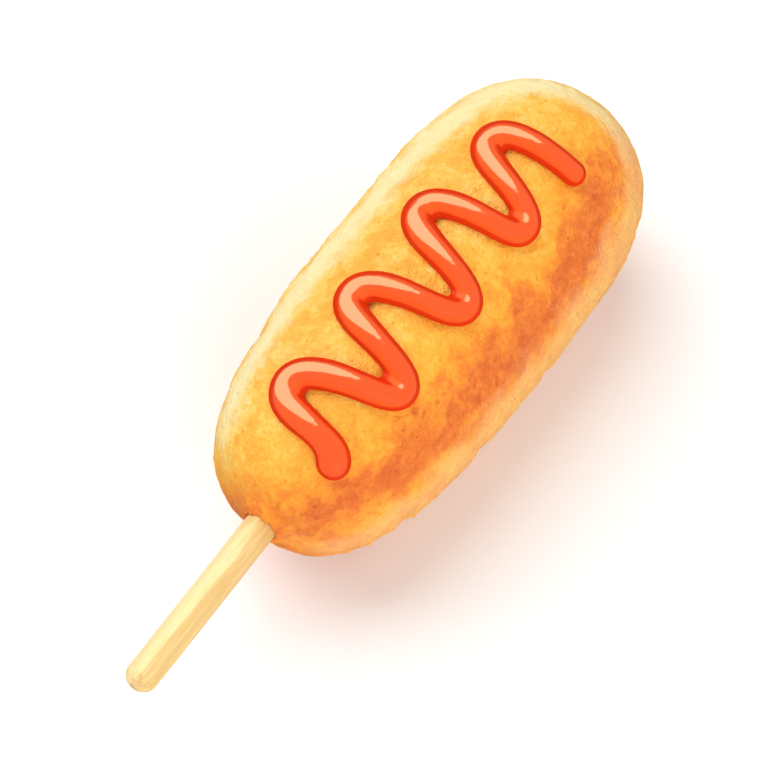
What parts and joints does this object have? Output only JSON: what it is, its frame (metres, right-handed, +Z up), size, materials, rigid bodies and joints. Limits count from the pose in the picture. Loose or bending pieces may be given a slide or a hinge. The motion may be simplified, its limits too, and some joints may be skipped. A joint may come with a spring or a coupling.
{
  "type": "corn dog",
  "caption": "Battered, fried sausage on a round wooden stick, plump and blunt-ended, with a zigzag line of ketchup along its top; it lies on its side.",
  "frame": {"origin": "on the table, under the middle of the whole thing, stick included", "axes": "+X from the stick to the food's tip, +Z up from the table to the ketchup"},
  "size_m": [0.1448, 0.0462, 0.0485],
  "materials": {
    "crust": "golden fried batter, finely pebbled, a little oily",
    "ketchup": "wet, glossy tomato sauce",
    "wood": "bare pale birch, smooth"
  },
  "bodies": {
    "root": {"batter": "crust", "ketchup": "ketchup", "stick": "wood"}
  },
  "joints": []
}
